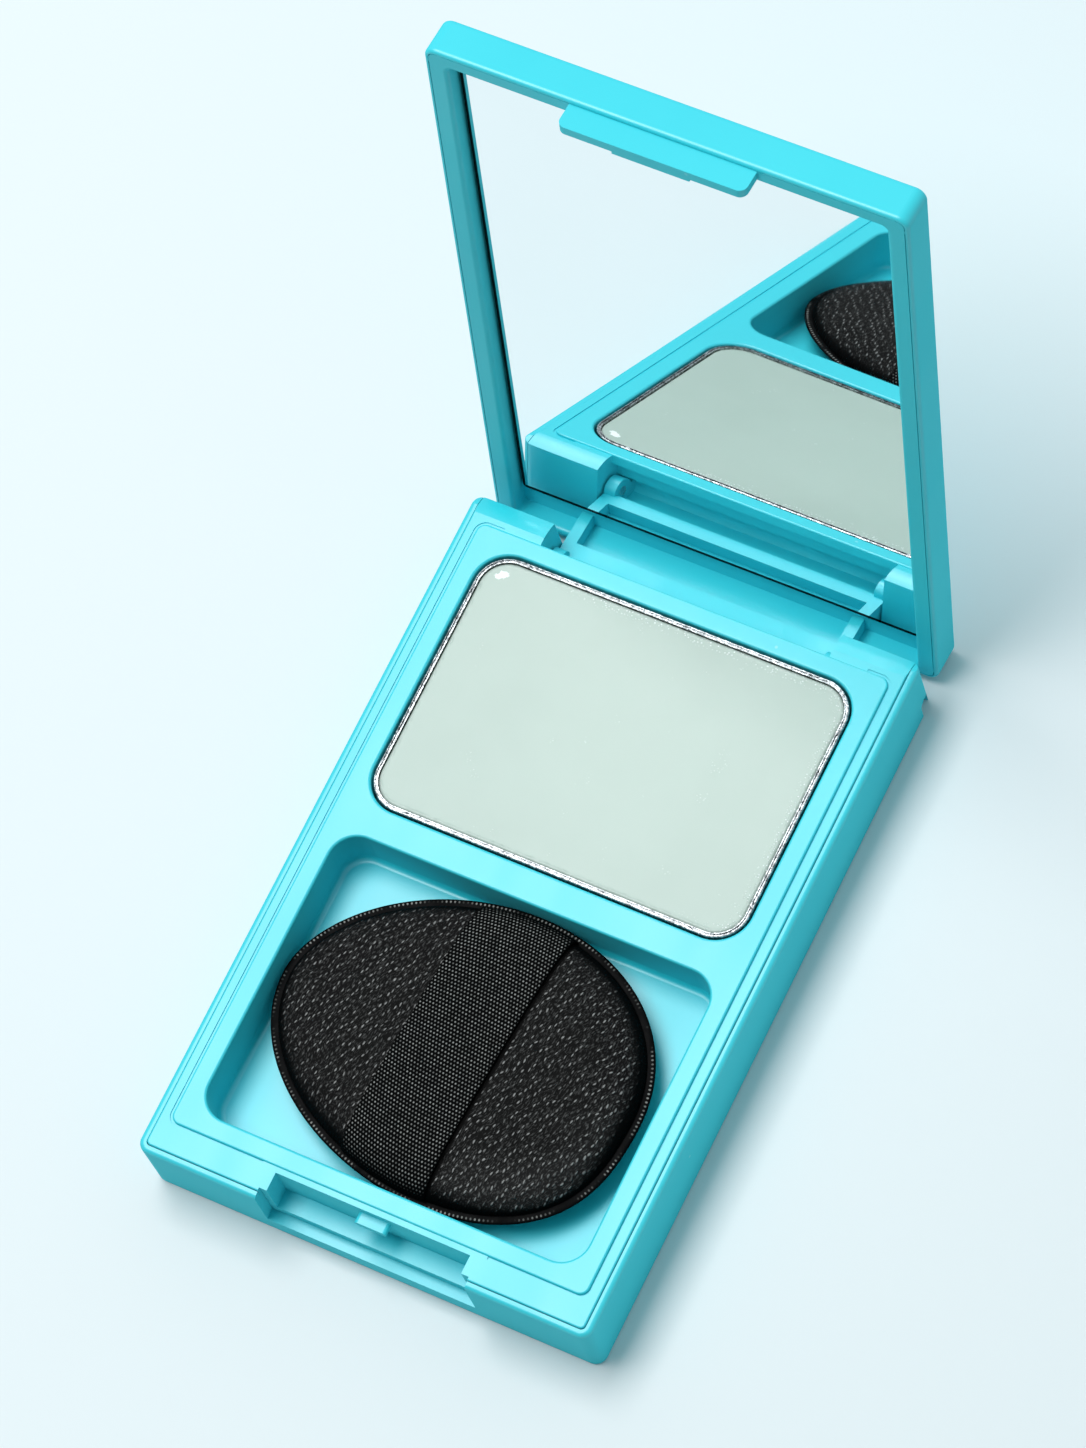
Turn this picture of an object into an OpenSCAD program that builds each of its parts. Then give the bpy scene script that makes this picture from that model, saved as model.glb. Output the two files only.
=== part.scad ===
// Powder compact: a thin two-well base, a mirrored lid that stands open on two steel pins,
// a pan of balm and a teardrop puff. Millimetres, +Z up, X across, Y from the latch (-Y) to the
// hinge (+Y). The origin is the centre of the base's footprint, on the resting face.
// The lid is drawn open, as it rests; its parts are built shut and then swung open.

/* [Case] */
// Width of the compact across X
case_w = 60; // [52:1:76]
// Length of the compact along Y, latch to hinge
case_l = 91; // [84:1:112]
// Height of the base, resting face to border
base_h = 11; // [10.8:0.1:14]
// Height of the lid, rim to outer face
lid_h = 5; // [4.8:0.1:7]
// Plan radius of the case's corners
corner_r = 1.5; // [1.2:0.1:3]
// Rounding of the outer edges
edge_r = 0.6; // [0.3:0.1:1]

/* [Wells] */
// Length along Y of the pocket for the pan
pan_pocket_l = 35.6; // [26:0.2:37]
// Length along Y of the well for the puff
puff_well_l = 38.4; // [34:0.2:42]
// Height of the puff well's floor above the resting face
puff_floor_z = 4.5; // [3:0.1:5]

/* [Hinge] */
// How far the lid opens from shut, in degrees
lid_open = 101; // [60:1:101]
// Height of the hinge pins above the resting face
hinge_z = 5.5; // [5.4:0.05:5.6]
// Distance of the hinge pins in from the rear face
hinge_in = 3.2; // [3:0.05:3.3]
// Width of the hinge lug between the base's ears
lug_w = 38.2; // [30:0.2:40]
// Diameter of the hinge pins
pin_d = 1.6; // [1.2:0.1:1.8]

/* [Latch] */
// Width of the clasp tab on the lid
tab_w = 23.2; // [14:0.2:26]
// Length of the clasp tab below the lid's rim
tab_l = 3.2; // [2.4:0.1:3.4]

/* [Puff] */
// Length of the puff, tip to round end
puff_l = 46; // [38:0.5:48]
// Width of the puff across the ribbon
puff_w = 36.8; // [30:0.2:37.4]
// Height of the puff's crown above its seam
puff_crown = 4.2; // [3:0.1:4.6]
// Width of the ribbon strap
ribbon_w = 12; // [8:0.5:16]
// Turn of the puff in its well, in degrees from the X axis
puff_turn = -4; // [-4.5:0.5:4.5]

/* [Hidden] */

$fn = 96;
eps = 0.01;
big = 200;

turquoise = [0.25, 0.78, 0.86];
front_y = -case_l / 2;
rear_y = case_l / 2;

// Case and deck
floor_t = 1;
rim_t = 0.9;
shelf_t = 0.9;
rim_drop = 0.25;
part_gap = 0.08;
deck_t = 1.4;
deck_under_z = base_h - deck_t;
deck_w = case_w - 2 * (rim_t + part_gap);
deck_front_y = front_y + rim_t + part_gap;
wall_t = 1;
peg_x = 18;
peg_d = 2.6;
socket_d = 5;
socket_floor_t = 0.4;
notch_r = 1.05;
notch_h = 3.4;
notch_in = 1.55;

// Raised panel with the two wells
panel_rise = 0.25;
panel_side = 2.4;
panel_w = case_w - 2 * panel_side;
panel_front_y = front_y + 4.5;
ear_l = 3.5;
panel_rear_y = rear_y - ear_l;
panel_r = 1.2;
panel_top_z = base_h + panel_rise;
groove_w = 0.35;
groove_d = 0.15;

well_side = 4.8;
well_w = case_w - 2 * well_side;
well_edge_r = 0.35;
pan_pocket_r = 4.6;
pan_rear_margin = 2.4;
pan_pocket_y = panel_rear_y - pan_rear_margin - pan_pocket_l / 2;
pan_floor_z = base_h - 3.2;
pan_floor_t = 0.9;
puff_well_r = 3.5;
puff_front_margin = 2.5;
puff_well_y = panel_front_y + puff_front_margin + puff_well_l / 2;

// Latch recess in the front wall
recess_w = 25.8;
recess_back_y = front_y + 3.8;
recess_floor_z = 5;
ledge_w = recess_w + 2;
ledge_l = 1.4;
ledge_z = 3.3;
nub_w = 4.2;
nub_out = 1.4;
nub_t = 1;
nub_z = base_h - 1.9;

// Hinge
hinge_y = rear_y - hinge_in;
hinge_at = [0, hinge_y, hinge_z];
lug_gap = 0.3;
ear_x = lug_w / 2 + lug_gap;
ear_wall = 5;
ear_back_t = 1.2;
lip_z = 7.9;
lug_wall = 1.5;
lug_plate = 1.2;
sweep_r = 4.3;
sweep_gap = 0.3;
boss_r = 2;
hinge_well_y = hinge_y - sweep_r - sweep_gap;
shut_gap = 0.2;
swing_gap = 0.15;
rim_z = base_h + shut_gap;
ear_arc_r = rim_z - hinge_z - swing_gap;
rib_z = hinge_z + 1.5;
rib_t = 2.2;
lug_rim_y = panel_rear_y + swing_gap;
pin_run = 0.05;
pin_in = 4.6;

// Lid
rail_w = 2.8;
front_rail = 2.5;
mirror_depth = 2;
glass_t = 1.2;
backing_t = 0.1;
tape_t = 0.2;
lid_top_z = rim_z + lid_h;
glass_z = rim_z + mirror_depth;
lid_floor_z = glass_z + glass_t + backing_t + tape_t;
mirror_gap = 0.35;
mirror_foot = 4.8;
foot_z = glass_z + 0.5;
lid_inner_w = case_w - 2 * rail_w;
lid_inner_front_y = front_y + front_rail;
mirror_w = lid_inner_w - 2 * mirror_gap;
mirror_rear_y = rear_y - mirror_foot;
mirror_l = mirror_rear_y - lid_inner_front_y - mirror_gap;
mirror_y = mirror_rear_y - mirror_l / 2;
tab_t = 1.2;
tab_set = 0.6;
tab_r = 1;
bead_w = 9.6;
bead_t = 0.4;
bead_h = 0.7;

// Pan and balm
pan_gap = 0.25;
pan_w = well_w - 2 * pan_gap;
pan_l = pan_pocket_l - 2 * pan_gap;
pan_r = pan_pocket_r - pan_gap;
glue_t = 0.2;
pan_t = 0.3;
pan_bead = 0.6;
pan_z = pan_floor_z + glue_t;
pan_top_z = base_h + 0.1;
balm_top_z = pan_top_z - 0.12;

// Puff
puff_x = -0.6;
puff_y = puff_well_y + 0.15;
puff_lift = 0.2;
puff_base_h = 3.3;
seam_r = 0.55;
seam_z = puff_floor_z + puff_lift + puff_base_h;
tip_power = 0.25;
cover_t = 0.5;
foam_inset = 2;
foam_over = 0.43 * puff_crown;
foam_under = 0.36 * puff_base_h;
foam_end_t = 34;
foam_steps = 14;
end_t = 8;
ribbon_t = 0.5;
ribbon_lift = 0.06;
outline_steps = 44;
arch_steps = 12;

// ---------- shared shapes ----------

// Prism with a rounded-rectangle outline, centred on X and Y.
module slab(w, l, h, r) {
    translate([-w / 2 + r, -l / 2, 0]) cube([w - 2 * r, l, h]);
    translate([-w / 2, -l / 2 + r, 0]) cube([w, l - 2 * r, h]);
    for (x = [-1, 1], y = [-1, 1])
        translate([x * (w / 2 - r), y * (l / 2 - r), 0]) cylinder(h = h, r = r);
}

// The same outline, with its edge following a profile: the children are a 2-D shape whose x is
// measured outward from the centres of the corner arcs.
module profiled_slab(w, l, r) {
    straight_x = w - 2 * r;
    straight_y = l - 2 * r;
    for (x = [-1, 1], y = [-1, 1])
        translate([x * straight_x / 2, y * straight_y / 2, 0]) rotate_extrude() children();
    for (turn = [0, 180]) {
        rotate([0, 0, turn]) translate([straight_x / 2, straight_y / 2, 0])
            rotate([90, 0, 0]) linear_extrude(straight_y) children();
        rotate([0, 0, turn]) translate([-straight_x / 2, straight_y / 2, 0])
            rotate([90, 0, 90]) linear_extrude(straight_x) children();
    }
}

// Profile of a wall edge: full height, with its top and bottom outer corners rounded.
module round_profile(r, h, top_r, foot_r) {
    square([r - max(top_r, foot_r), h]);
    translate([0, foot_r]) square([r, h - top_r - foot_r]);
    if (foot_r > 0) intersection() {
        translate([r - foot_r, foot_r]) circle(foot_r);
        translate([r - foot_r, 0]) square(foot_r);
    }
    if (top_r > 0) intersection() {
        translate([r - top_r, h - top_r]) circle(top_r);
        translate([r - top_r, h - top_r]) square(top_r);
    }
}

// Rounded-rectangle block with rounded top and bottom edges.
module soft_slab(w, l, h, r, top_r, foot_r) {
    profiled_slab(w, l, r) round_profile(r, h, top_r, foot_r);
    translate([-w / 2 + r, -l / 2 + r, 0]) cube([w - 2 * r, l - 2 * r, h]);
}

// Widening at the mouth of a hole, so that the hole's edge is rounded.
module mouth_profile(r, edge) {
    difference() {
        square([r + edge, edge + eps]);
        translate([r + edge, 0]) circle(edge);
    }
}

// Cutter for a well: a hole of this outline from the floor up, rounded at its floor and mouth.
module well_cutter(w, l, r, floor_z, mouth_z, floor_r) {
    translate([0, 0, floor_z]) soft_slab(w, l, mouth_z - floor_z + eps, r, 0, floor_r);
    translate([0, 0, mouth_z - well_edge_r])
        profiled_slab(w, l, r) mouth_profile(r, well_edge_r);
}

// Bar along X with a drawn (Y, Z) section, centred on X.
module bar_x(w) {
    translate([-w / 2, 0, 0]) rotate([90, 0, 90]) linear_extrude(w) children();
}

// Box between two Y values and two Z values, centred on X.
module band(w, y0, y1, z0, z1) {
    translate([-w / 2, y0, z0]) cube([w, y1 - y0, z1 - z0]);
}

// ---------- base ----------

module case_outline(h) {
    slab(case_w, case_l, h, corner_r);
}

module latch_notch() {
    band(ledge_w, front_y - 1, front_y + rim_t + shelf_t + eps, ledge_z, base_h + 1);
}

// Half-round notch at the foot of each side wall, beside the hinge.
module side_notch() {
    translate([-case_w, rear_y - notch_in, 0]) {
        translate([0, 0, notch_h - notch_r]) rotate([0, 90, 0]) cylinder(h = 2 * case_w, r = notch_r);
        translate([0, -notch_r, -1]) cube([2 * case_w, 2 * notch_r, notch_h - notch_r + 1]);
    }
}

// Places of the pegs that join deck and case, with the height of the well floor above each.
function peg_spots() = [
    for (x = [-1, 1], y = [-1, 1])
        [x * peg_x, pan_pocket_y + y * pan_pocket_l / 4, pan_floor_z - pan_floor_t],
    for (x = [-1, 1], y = [-1, 1])
        [x * peg_x, puff_well_y + y * puff_well_l / 3, puff_floor_z - wall_t]
];

module base_case() color(turquoise) {
    shelf_in = 2 * (rim_t + shelf_t);
    difference() {
        soft_slab(case_w, case_l, base_h - rim_drop, corner_r, edge_r, 0.4);
        translate([0, rim_t, deck_under_z])
            slab(case_w - 2 * rim_t, case_l, base_h, corner_r - rim_t);
        band(case_w - shelf_in, front_y + rim_t + shelf_t, hinge_well_y, floor_t, base_h);
        band(case_w - 2 * rim_t, hinge_well_y - wall_t - part_gap, rear_y + 1, floor_t, base_h);
        latch_notch();
        ear_arc();
        difference() {
            side_notch();
            band(case_w - 2 * rim_t - eps, -big, big, -big, big);
        }
    }
    for (spot = peg_spots()) translate([spot.x, spot.y, floor_t - eps]) difference() {
        cylinder(h = spot.z - floor_t - 0.1, d = socket_d);
        translate([0, 0, socket_floor_t]) cylinder(h = base_h, d = peg_d + 0.1);
    }
}

module deck_plate() {
    edge = 0.2;
    deck_l = rear_y - deck_front_y;
    intersection() {
        translate([0, deck_front_y + deck_l / 2 + 1, deck_under_z])
            soft_slab(deck_w, deck_l + 2, deck_t, corner_r - rim_t, edge, 0);
        case_outline(big);
    }
}

module raised_panel() {
    panel_l = panel_rear_y - panel_front_y;
    translate([0, panel_front_y + panel_l / 2, deck_under_z])
        soft_slab(panel_w, panel_l, deck_t + panel_rise, panel_r, panel_rise, 0);
}

module panel_groove() {
    panel_l = panel_rear_y - panel_front_y;
    translate([0, panel_front_y + panel_l / 2, base_h - groove_d]) difference() {
        slab(panel_w + 2 * groove_w, panel_l + 2 * groove_w, 1, panel_r + groove_w);
        translate([0, 0, -1]) slab(panel_w, panel_l, 3, panel_r);
    }
}

module well_body(y, w, l, r, floor_z) {
    translate([0, y, floor_z]) slab(w + 2 * wall_t, l + 2 * wall_t, base_h - floor_z, r + wall_t);
}

// Hollow blocks at the rear corners that carry the pins, and the wall that joins them.
module deck_ears() {
    foot_z = floor_t + part_gap;
    outer_x = deck_w / 2;
    intersection() {
        union() {
            for (side = [0, 1]) mirror([side, 0, 0]) {
                translate([ear_x, hinge_well_y - wall_t, foot_z])
                    cube([ear_wall, rear_y - hinge_well_y + wall_t, base_h - foot_z]);
                translate([ear_x, rear_y - ear_back_t, foot_z])
                    cube([outer_x - ear_x, ear_back_t, base_h - foot_z]);
            }
            band(2 * ear_x, hinge_well_y - wall_t, hinge_well_y, foot_z, deck_under_z);
        }
        case_outline(big);
    }
}

module latch_block() {
    band(ledge_w + 2 * wall_t, front_y + rim_t + shelf_t, puff_well_y - puff_well_l / 2,
         ledge_z + part_gap, base_h);
    band(ledge_w - 2 * part_gap, front_y + ledge_l, front_y + rim_t + shelf_t + eps,
         ledge_z + part_gap, base_h);
}

module latch_recess() {
    band(ledge_w, -big, front_y + ledge_l, -1, base_h + 1);
    band(recess_w, -big, recess_back_y, recess_floor_z, base_h + 1);
}

module catch_nub() {
    end_r = nub_t / 2;
    translate([0, recess_back_y - nub_out, nub_z]) rotate([-90, 0, 0]) {
        translate([-nub_w / 2 + end_r, -end_r, 0]) cube([nub_w - 2 * end_r, nub_t, nub_out + eps]);
        for (side = [-1, 1])
            translate([side * (nub_w / 2 - end_r), 0, 0]) cylinder(h = nub_out + eps, r = end_r);
    }
}

// Room for the lug: open above and behind, and cut forward under the deck for its swing.
module hinge_well() {
    band(2 * ear_x, panel_rear_y, rear_y + 1, -1, base_h + 2);
    band(2 * ear_x, pan_pocket_y + pan_pocket_l / 2 + wall_t, rear_y, -1, lip_z);
}

// Everything above the arc that the lid's rim sweeps over the ears.
module ear_arc() {
    difference() {
        band(2 * case_w, hinge_y, rear_y + 1, hinge_z, base_h + 5);
        translate([-case_w, hinge_y, hinge_z]) rotate([0, 90, 0])
            cylinder(h = 2 * case_w, r = ear_arc_r, $fn = 180);
    }
}

module ear_bores() {
    for (side = [0, 1]) mirror([side, 0, 0])
        translate([ear_x - eps, hinge_y, hinge_z]) rotate([0, 90, 0])
            cylinder(h = pin_in + 0.2, d = pin_d + 2 * pin_run);
}

module base_deck() color(turquoise) {
    difference() {
        union() {
            difference() {
                deck_plate();
                panel_groove();
            }
            raised_panel();
            well_body(pan_pocket_y, well_w, pan_pocket_l, pan_pocket_r, pan_floor_z - pan_floor_t);
            well_body(puff_well_y, well_w, puff_well_l, puff_well_r, puff_floor_z - wall_t);
            deck_ears();
            latch_block();
            for (spot = peg_spots())
                translate([spot.x, spot.y, floor_t + socket_floor_t + 0.2])
                    cylinder(h = spot.z - floor_t - socket_floor_t - 0.1, d = peg_d);
        }
        translate([0, pan_pocket_y, 0])
            well_cutter(well_w, pan_pocket_l, pan_pocket_r, pan_floor_z, panel_top_z, 0.3);
        translate([0, puff_well_y, 0])
            well_cutter(well_w, puff_well_l, puff_well_r, puff_floor_z, panel_top_z, 0.8);
        latch_recess();
        hinge_well();
        ear_arc();
        ear_bores();
    }
    catch_nub();
}

// ---------- pan ----------

module pan_adhesive() color([0.9, 0.88, 0.8]) {
    translate([0, pan_pocket_y, pan_floor_z]) slab(pan_w - 8, pan_l - 8, glue_t, 2);
}

module pan() color([0.8, 0.82, 0.84]) {
    h = pan_top_z - pan_z;
    translate([0, pan_pocket_y, pan_z]) difference() {
        soft_slab(pan_w, pan_l, h, pan_r, 0.25, 0.5);
        translate([0, 0, pan_t])
            soft_slab(pan_w - 2 * pan_bead, pan_l - 2 * pan_bead, h, pan_r - pan_bead, 0, 0.3);
    }
}

module balm_fill() color([0.78, 0.86, 0.83]) {
    inset = pan_bead + 0.02;
    bottom = pan_z + pan_t + 0.02;
    translate([0, pan_pocket_y, bottom])
        soft_slab(pan_w - 2 * inset, pan_l - 2 * inset, balm_top_z - bottom,
                  pan_r - inset, 0.5, 0.3);
}

// ---------- lid, drawn shut ----------

// Carries a part drawn shut to where it stands with the lid open.
module opened() {
    translate(hinge_at) rotate([-lid_open, 0, 0]) translate(-hinge_at) children();
}

module lid_tray() {
    inner_l = rear_y - lug_plate - lid_inner_front_y;
    inner_y = lid_inner_front_y + inner_l / 2;
    inner_r = 0.8;
    lip_r = 0.6;
    pocket_l = mirror_rear_y + mirror_gap - lid_inner_front_y;
    difference() {
        translate([0, 0, rim_z])
            soft_slab(case_w, case_l, lid_h, corner_r, edge_r, 0.5);
        translate([0, inner_y, rim_z - eps])
            slab(lid_inner_w, inner_l, foot_z - rim_z + eps, inner_r);
        translate([0, lid_inner_front_y + pocket_l / 2, rim_z])
            slab(lid_inner_w, pocket_l, lid_floor_z - rim_z, inner_r);
        translate([0, inner_y, rim_z + lip_r]) mirror([0, 0, 1])
            profiled_slab(lid_inner_w, inner_l, inner_r) mouth_profile(inner_r, lip_r);
    }
}

// Side view of the lug, about the pin: a flat rear face, turned in below on the swept radius.
module lug_section(inset) {
    rim = lug_rim_y - hinge_y;
    back = hinge_in - inset;
    translate([rim, 0]) square([back - rim, foot_z + eps - hinge_z]);
    intersection() {
        circle(sweep_r - inset);
        translate([rim, -sweep_r]) square([back - rim, sweep_r + eps]);
    }
}

module lug_cheek() {
    difference() {
        union() {
            bar_x(lug_wall) lug_section(0);
            bar_x(lug_wall) circle(boss_r);
        }
        bar_x(2 * lug_wall) circle(pin_d / 2);
    }
}

module hinge_lug() {
    rib_w = lug_w - 2 * lug_wall;
    translate(hinge_at) {
        bar_x(rib_w + eps) difference() {
            lug_section(0);
            translate([-eps, 0]) lug_section(lug_plate);
            translate([-sweep_r, 0]) square([sweep_r, big]);
        }
        for (side = [-1, 1]) translate([side * (lug_w - lug_wall) / 2, 0, 0]) lug_cheek();
    }
    band(rib_w + eps, lug_rim_y, rear_y - lug_plate + eps, rib_z, rib_z + rib_t);
}

module clasp_tab() {
    top_z = rim_z + 0.6;
    foot_z = rim_z - tab_l;
    straight_w = tab_w - 2 * tab_r;
    translate([0, front_y + tab_set, 0]) {
        band(tab_w, 0, tab_t, foot_z + tab_r, top_z);
        band(straight_w, 0, tab_t, foot_z, top_z);
        for (side = [-1, 1])
            translate([side * straight_w / 2, 0, foot_z + tab_r]) rotate([-90, 0, 0])
                cylinder(h = tab_t, r = tab_r);
        band(bead_w, tab_t - eps, tab_t + bead_t, foot_z, foot_z + bead_h);
    }
}

module lid_shell() color(turquoise) opened() {
    lid_tray();
    hinge_lug();
    clasp_tab();
}

module mirror_sheet(z, t, inset) {
    translate([0, mirror_y, z]) slab(mirror_w - 2 * inset, mirror_l - 2 * inset, t, 0.6);
}

module mirror_glass() color([0.85, 0.92, 0.97]) opened() {
    mirror_sheet(glass_z, glass_t, 0);
}

module mirror_backing() color([0.35, 0.37, 0.4]) opened() {
    mirror_sheet(glass_z + glass_t, backing_t, 0.1);
}

module mirror_adhesive() color([0.9, 0.9, 0.85]) opened() {
    mirror_sheet(glass_z + glass_t + backing_t, tape_t, 2);
}

module hinge_pins() color([0.7, 0.71, 0.73]) {
    inner_x = lug_w / 2 - lug_wall;
    for (side = [0, 1]) mirror([side, 0, 0])
        translate([inner_x, hinge_y, hinge_z]) rotate([0, 90, 0])
            cylinder(h = ear_x + pin_in - inner_x, d = pin_d);
}

// ---------- puff ----------

// The outline is a teardrop: half widths follow sin(t) * sin(t/2)^tip_power from the tip at t = 0
// to the round end at t = 180, and the crown stands on it in arches across the width.
function tear(t) = sin(t) * pow(sin(t / 2), tip_power);
tear_peak = max([for (t = [80 : 1 : 120]) tear(t)]);
function half_width(t) = puff_w / 2 * tear(t) / tear_peak;
function outline_x(t) = -puff_l / 2 * cos(t);
function swell(t) = pow(sin(t), 0.45);
function arch(w) = pow(max(0, sin(w)), 0.62);

// Arch across the puff at t, from one side to the other: drawn in from the outline, and springing
// from a level above or below the seam.
function arch_points(t, inset, height, from_z = 0) =
    [for (i = [0 : arch_steps]) let (w = 180 * i / arch_steps)
        [outline_x(t), -(half_width(t) - inset) * cos(w), from_z + height * swell(t) * arch(w)]];

function turned(points) = [for (i = [len(points) - 1 : -1 : 0]) points[i]];

// Closed solid through a list of rings with equal numbers of points, each an upper row followed
// by a lower row that runs back under it: a closed loop of rings, or a row with two ends.
module loft(rings, looped = false) {
    n = len(rings[0]);
    count = len(rings);
    end = (count - 1) * n;
    sides = [for (i = [0 : count - (looped ? 1 : 2)], j = [0 : n - 1])
        let (here = i * n, next = (i + 1) % count * n, k = (j + 1) % n) each [
            [here + j, here + k, next + j],
            [here + k, next + k, next + j]]];
    caps = looped ? [] : [for (j = [0 : n / 2 - 2]) let (under = n - 1 - j) each [
        [under, j + 1, j],
        [under, under - 1, j + 1],
        [end + j, end + j + 1, end + under],
        [end + j + 1, end + under - 1, end + under]]];
    polyhedron(points = [for (ring = rings) each ring], faces = concat(sides, caps));
}

module at_seam() {
    translate([puff_x, puff_y, seam_z]) rotate([0, 0, puff_turn]) children();
}

function steps_between(first_t) =
    [for (i = [0 : outline_steps]) first_t + (180 - 2 * first_t) * i / outline_steps];

module puff_top_cover() color([0.09, 0.09, 0.1])
    at_seam() loft([for (t = steps_between(end_t)) concat(
        arch_points(t, 0, puff_crown),
        turned(arch_points(t, cover_t, puff_crown - cover_t)))]);

module puff_base_cover() color([0.13, 0.13, 0.14])
    at_seam() loft([for (t = steps_between(end_t)) concat(
        arch_points(t, cover_t, cover_t - puff_base_h),
        turned(arch_points(t, 0, -puff_base_h)))]);

// Foam pad: a prism of the outline drawn in, clear of both covers and of the welt.
module puff_foam() color([0.2, 0.2, 0.22]) {
    side = [for (i = [0 : foam_steps]) let (t = foam_end_t + (180 - 2 * foam_end_t) * i / foam_steps)
        [outline_x(t), half_width(t) - foam_inset]];
    at_seam() translate([0, 0, -foam_under]) linear_extrude(foam_over + foam_under)
        polygon(concat(side, [for (p = turned(side)) [p.x, -p.y]]));
}

// Height of the crown above the seam at a place on the plan.
function crown_z(x, y) =
    let (t = acos(-x / (puff_l / 2)), s = y / half_width(t))
    puff_crown * swell(t) * pow(max(0, 1 - s * s), 0.31);

function ribbon_row(y, rise, across) =
    [for (k = [0 : across]) let (x = ribbon_w * (k / across - 0.5)) [x, y, crown_z(x, y) + rise]];

module puff_ribbon() color([0.06, 0.06, 0.07]) {
    across = 4;
    along = 22;
    reach = 0.985 * min(half_width(acos(ribbon_w / puff_l)), half_width(acos(-ribbon_w / puff_l)));
    at_seam() loft([for (i = [0 : along]) let (y = -reach * cos(180 * i / along))
        concat(ribbon_row(y, ribbon_lift, across),
               turned(ribbon_row(y, ribbon_lift + ribbon_t, across)))]);
}

// Point of the outline, one turn round from the tip.
function outline_point(t) =
    t <= 180 ? [outline_x(t), -half_width(t)] : [outline_x(360 - t), half_width(360 - t)];

function welt_ring(t, sides) =
    let (p = outline_point(t), q = [p.x / puff_l, p.y / puff_w], out = q / norm(q))
    [for (k = [0 : sides - 1]) let (a = 360 * k / sides)
        [p.x + out.x * seam_r * cos(a), p.y + out.y * seam_r * cos(a), seam_r * sin(a)]];

// Welt round the outline where the two covers are welded together.
module puff_seam() color([0.05, 0.05, 0.06]) {
    turns = 72;
    at_seam() loft([for (i = [0 : turns - 1]) welt_ring(360 * i / turns, 6)], true);
}

// ---------- assembly ----------

base_case();
base_deck();
pan_adhesive();
pan();
balm_fill();
lid_shell();
mirror_adhesive();
mirror_backing();
mirror_glass();
hinge_pins();
puff_base_cover();
puff_foam();
puff_top_cover();
puff_seam();
puff_ribbon();
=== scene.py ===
import math

import bpy
import numpy as np
from mathutils import Euler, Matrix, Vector


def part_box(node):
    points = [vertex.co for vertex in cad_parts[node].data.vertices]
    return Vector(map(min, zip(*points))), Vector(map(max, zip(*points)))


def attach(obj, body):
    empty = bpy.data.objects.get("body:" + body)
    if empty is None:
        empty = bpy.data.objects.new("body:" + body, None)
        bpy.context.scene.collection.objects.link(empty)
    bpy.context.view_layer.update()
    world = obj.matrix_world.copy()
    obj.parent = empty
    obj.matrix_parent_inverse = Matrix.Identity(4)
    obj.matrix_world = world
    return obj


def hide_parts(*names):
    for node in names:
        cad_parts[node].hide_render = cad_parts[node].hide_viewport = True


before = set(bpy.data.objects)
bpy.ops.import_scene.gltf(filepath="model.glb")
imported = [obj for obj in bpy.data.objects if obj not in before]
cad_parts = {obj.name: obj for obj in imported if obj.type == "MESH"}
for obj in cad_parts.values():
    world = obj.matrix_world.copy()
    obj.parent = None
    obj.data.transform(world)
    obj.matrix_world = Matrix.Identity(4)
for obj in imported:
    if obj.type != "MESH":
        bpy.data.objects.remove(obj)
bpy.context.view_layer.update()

# ---------------------------------------------------------------- sizes, in metres

MM = 0.001

# The balm's box and its corner radius in plan
BALM_LO, BALM_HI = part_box("balm_fill")
BALM_R = 3.73 * MM

# The open lid's mirror: the ways up it and out of it, where its foot and its left edge lie, and
# how far its reflection leans
LID_OPEN = math.radians(101)
UP_MIRROR = (0, -math.cos(LID_OPEN), math.sin(LID_OPEN))
OUT_OF_MIRROR = (0, -math.sin(LID_OPEN), -math.cos(LID_OPEN))
MIRROR_FOOT = min(corner.co.dot(Vector(UP_MIRROR))
                  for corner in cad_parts["mirror_glass"].data.vertices)
MIRROR_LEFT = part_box("mirror_glass")[0].x
LEAN_UP = math.radians(6.2)
LEAN_LEFT = math.radians(4.0)
MIRROR_LEAN = (Vector(UP_MIRROR) * math.tan(LEAN_UP)
               - Vector((1, 0, 0)) * math.tan(LEAN_LEFT))

# The puff in its well, and its plan: the rings of its covers shrink to MIDDLE
PUFF_AT = Vector((-0.6, -19.05, 0)) * MM
PUFF_TURN = math.radians(-4)
PUFF_L = 47 * MM
PUFF_W = 36.8 * MM
TIP_POWER = 0.22
FULLNESS_REAR = 0.92
FULLNESS_FRONT = 0.76
MIDDLE = np.array([2.0, 0.0]) * MM

# Its heights: the seam, the crown above it, the underside below it, and how far under the seam
# lie the flat faces that close its two covers
SEAM_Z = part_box("puff_base_cover")[1].z
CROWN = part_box("puff_top_cover")[1].z - SEAM_Z
UNDER = SEAM_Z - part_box("puff_base_cover")[0].z
COVER_FLAT = 0.05 * MM
BASE_FLAT = 0.06 * MM

# Its cover: room kept under the crown, pressed in under the ribbon, swollen beside it, and loose
HEADROOM = 0.25 * MM
PRESSED = 0.22 * MM
SWOLLEN = 0.10 * MM
LOOSE = 0.045 * MM

# Its welt: in from the outline to the covers and on under them, out from the outline, half its
# thickness, the length of its section's map, and the place and pitch of its line of dots
WELT_IN = 0.4 * MM
WELT_LAP = 0.4 * MM
WELT_OUT = 0.55 * MM
WELT_HALF_T = 0.24 * MM
WELT_ROUND = 3.0 * MM
WELT_LINE_V = 0.55 * MM
WELT_DOT_PITCH = 0.52 * MM

# Its ribbon: width, thickness, how far it lies over the cover and how much less at its edges,
# and the beads of its weave
RIBBON_W = 12 * MM
RIBBON_T = 0.32 * MM
RIBBON_OVER = 0.22 * MM
RIBBON_CURL = 0.10 * MM
BEAD_PITCH = 0.44 * MM
BEAD_ROW = 0.47 * MM

# How finely its pieces are drawn
SPOKES = 240
COVER_RINGS = 52
BASE_RINGS = 40
WELT_SPOKES = 360
WELT_SIDES = 24
RIBBON_ROWS = 141
RIBBON_COLUMNS = 25

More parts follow.
